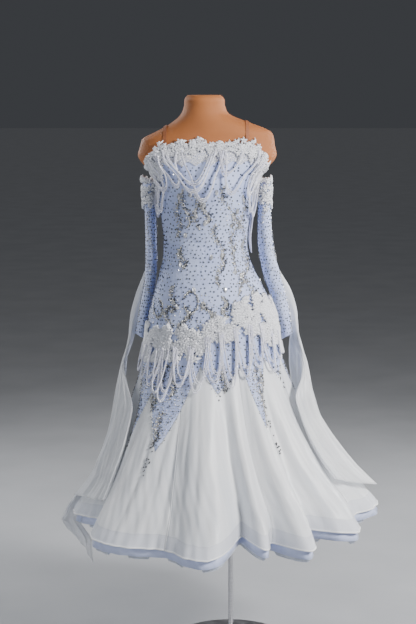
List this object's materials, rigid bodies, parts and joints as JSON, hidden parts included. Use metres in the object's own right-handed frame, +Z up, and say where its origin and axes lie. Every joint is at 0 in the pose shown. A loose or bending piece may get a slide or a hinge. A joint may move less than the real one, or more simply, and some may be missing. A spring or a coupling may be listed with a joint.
{
  "type": "ballroom dance dress on a dress form",
  "caption": "Stretch bodice gown with beaded lace, bead loops, loose sleeves with floats and a full godet skirt, on a limbless dress form with pole and round base.",
  "frame": {"origin": "centre of the underside of the round base", "axes": "+Z up, the dress's front faces -Y, +X is the picture's right"},
  "size_m": [0.9751, 0.8979, 1.668],
  "materials": {
    "form_cloth": "tan woven cover, drawn tight over the form",
    "steel": "brushed, plain",
    "elastic": "nude ribbon elastic",
    "stretch": "ice-blue matt stretch satin, set with crystals",
    "lace": "white corded lace sewn with small beads",
    "beads": "pearly white glass beads on thread",
    "net": "pale blue-grey stiff net",
    "organza": "white satin organza with a soft sheen"
  },
  "bodies": {
    "root": {"dress_form": "form_cloth", "stand_pole": "steel", "stand_base": "steel", "strap_left": "elastic", "strap_right": "elastic", "bodice_front": "stretch", "bodice_back": "stretch", "skirt_back_left": "organza", "skirt_side_left": "organza", "skirt_front_left": "organza", "skirt_front": "organza", "skirt_front_right": "organza", "skirt_side_right": "organza", "skirt_back_right": "organza", "underskirt_front": "organza", "underskirt_back": "organza", "petticoat_front": "net", "petticoat_back": "net", "neck_lace_front": "lace", "neck_lace_back": "lace", "hip_lace_front": "lace", "hip_lace_back": "lace", "sleeve_left": "stretch", "sleeve_right": "stretch", "sleeve_lace_left": "lace", "sleeve_lace_right": "lace", "sleeve_float_left": "organza", "sleeve_float_right": "organza", "neck_swags": "beads", "hip_swags": "beads"}
  },
  "joints": []
}
